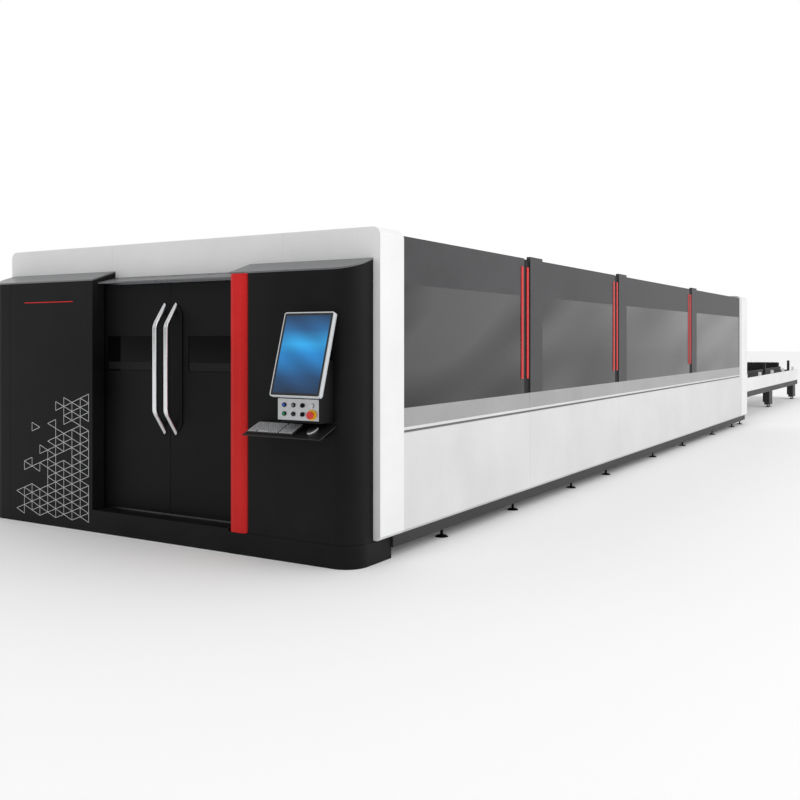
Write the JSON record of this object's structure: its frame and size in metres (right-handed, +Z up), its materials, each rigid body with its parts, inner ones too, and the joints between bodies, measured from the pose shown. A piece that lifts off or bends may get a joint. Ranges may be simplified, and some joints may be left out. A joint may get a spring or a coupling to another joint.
{
  "type": "fiber laser cutting machine",
  "caption": "Enclosed fiber laser cutting machine with black sliding front doors, red column, operator console, glazed side bays and a two-level pallet exchange table.",
  "frame": {"origin": "middle of the footprint, on the floor", "axes": "+X to the operator's right, +Y from the operator's doors towards the exchange table, +Z up"},
  "size_m": [4.07, 22.9002, 2.42],
  "materials": {
    "textured_black": "textured powder coat",
    "textured_grey": "textured powder coat",
    "white_paint": "satin powder coat",
    "light_grey_paint": "satin powder coat",
    "red_paint": "satin paint",
    "frame_grey": "satin machine paint",
    "dark_glass": "tinted laser-safe pane",
    "chrome": "polished tube",
    "brushed_alu": "brushed plate",
    "bright_steel": "ground steel",
    "raw_steel": "mill scale steel",
    "black_plastic": "moulded",
    "white_plastic": "moulded",
    "screen_glass": "display",
    "blue_plastic": "moulded",
    "green_plastic": "moulded",
    "red_plastic": "moulded",
    "yellow_plastic": "moulded"
  },
  "bodies": {
    "machine": {"front_portal": "white_paint", "rear_portal": "white_paint", "rear_portal_strip": "light_grey_paint", "base_beams": "textured_black", "levelling_feet": "raw_steel", "side_lower_panels": "white_paint", "side_ledges": "light_grey_paint", "side_upper_frames": "textured_grey", "side_windows": "dark_glass", "red_side_strips": "red_paint", "cabin_frame": "textured_black", "roof_panels": "textured_grey", "left_cabinet": "textured_black", "right_cabinet": "textured_black", "cabinet_roofs": "light_grey_paint", "front_plinths": "textured_black", "red_column": "red_paint", "door_header": "light_grey_paint", "door_track_and_guide": "bright_steel", "console_box": "textured_grey", "monitor_housing": "brushed_alu", "monitor_screen": "screen_glass", "button_panel": "brushed_alu", "button_bezels": "black_plastic", "stop_collar": "yellow_plastic", "keyboard_tray": "black_plastic", "keyboard": "black_plastic", "mouse": "white_plastic", "remote_holder": "white_plastic", "bed_frame": "frame_grey", "bed_rails_and_racks": "bright_steel", "table_side_rails": "white_paint", "table_frame": "textured_black", "rear_wall": "light_grey_paint", "laser_source": "white_paint"},
    "left_door_body": {"left_door": "textured_black", "left_window": "dark_glass", "left_handle": "chrome", "left_handle_plate": "black_plastic"},
    "right_door_body": {"right_door": "textured_black", "right_window": "dark_glass", "right_handle": "chrome", "right_handle_plate": "black_plastic"},
    "gantry_body": {"gantry_beam": "frame_grey", "gantry_rails": "bright_steel"},
    "carriage_body": {"carriage": "frame_grey"},
    "head_body": {"z_slide": "brushed_alu", "cutting_head": "brushed_alu"},
    "inner_pallet_body": {"inner_pallet": "raw_steel"},
    "outer_pallet_body": {"outer_pallet": "raw_steel"},
    "lift_body": {"lift_carriage": "raw_steel"},
    "rear_door_body": {"rear_lift_door": "textured_grey"},
    "start_body": {"start_button": "green_plastic"},
    "reset_body": {"reset_button": "blue_plastic"},
    "key_body": {"key_switch": "bright_steel"},
    "mode_body": {"mode_selector": "black_plastic"},
    "feed_body": {"feed_knob": "black_plastic"},
    "light_body": {"light_selector": "black_plastic"},
    "stop_body": {"emergency_stop": "red_plastic"}
  },
  "joints": [
    {"name": "left_door_slide", "type": "slide", "parent": "machine", "child": "left_door_body", "axis": [-1, 0, 0], "range_m": [0, 0.62]},
    {"name": "right_door_slide", "type": "slide", "parent": "machine", "child": "right_door_body", "axis": [1, 0, 0], "range_m": [0, 0.62]},
    {"name": "gantry_travel", "type": "slide", "parent": "machine", "child": "gantry_body", "axis": [0, 1, 0], "range_m": [0, 8.6]},
    {"name": "carriage_travel", "type": "slide", "parent": "gantry_body", "child": "carriage_body", "axis": [1, 0, 0], "range_m": [-1.2, 1.2]},
    {"name": "head_lift", "type": "slide", "parent": "carriage_body", "child": "head_body", "axis": [0, 0, 1], "range_m": [-0.37, 0]},
    {"name": "table_lift", "type": "slide", "parent": "machine", "child": "lift_body", "axis": [0, 0, 1], "range_m": [-0.3, 0]},
    {"name": "inner_pallet_travel", "type": "slide", "parent": "machine", "child": "inner_pallet_body", "axis": [0, 1, 0], "range_m": [0, 9.3]},
    {"name": "outer_pallet_travel", "type": "slide", "parent": "lift_body", "child": "outer_pallet_body", "axis": [0, 1, 0], "range_m": [-9.3, 0]},
    {"name": "rear_door_lift", "type": "slide", "parent": "machine", "child": "rear_door_body", "axis": [0, 0, 1], "range_m": [-0.85, 0]},
    {"name": "start_press", "type": "slide", "parent": "machine", "child": "start_body", "axis": [0, 1, 0], "range_m": [0, 0.004], "stiffness_N_per_m": 400, "springref_m": -0.002},
    {"name": "reset_press", "type": "slide", "parent": "machine", "child": "reset_body", "axis": [0, 1, 0], "range_m": [0, 0.004], "stiffness_N_per_m": 400, "springref_m": -0.002},
    {"name": "stop_press", "type": "slide", "parent": "machine", "child": "stop_body", "axis": [0, 1, 0], "range_m": [0, 0.005], "stiffness_N_per_m": 800, "springref_m": -0.002},
    {"name": "key_turn", "type": "hinge", "parent": "machine", "child": "key_body", "pos_m": [1.577, -11.36393, 1.152], "axis": [0, -1, 0], "range_deg": [-90, 0]},
    {"name": "mode_turn", "type": "hinge", "parent": "machine", "child": "mode_body", "pos_m": [1.657, -11.36393, 1.152], "axis": [0, -1, 0], "range_deg": [-45, 45]},
    {"name": "feed_turn", "type": "hinge", "parent": "machine", "child": "feed_body", "pos_m": [1.577, -11.36393, 1.09], "axis": [0, -1, 0], "range_deg": [-150, 150]},
    {"name": "light_turn", "type": "hinge", "parent": "machine", "child": "light_body", "pos_m": [1.657, -11.36393, 1.09], "axis": [0, -1, 0], "range_deg": [-45, 45]}
  ],
  "couplings": [
    {"joint": "outer_pallet_travel", "follows": "inner_pallet_travel", "ratio": -1}
  ]
}
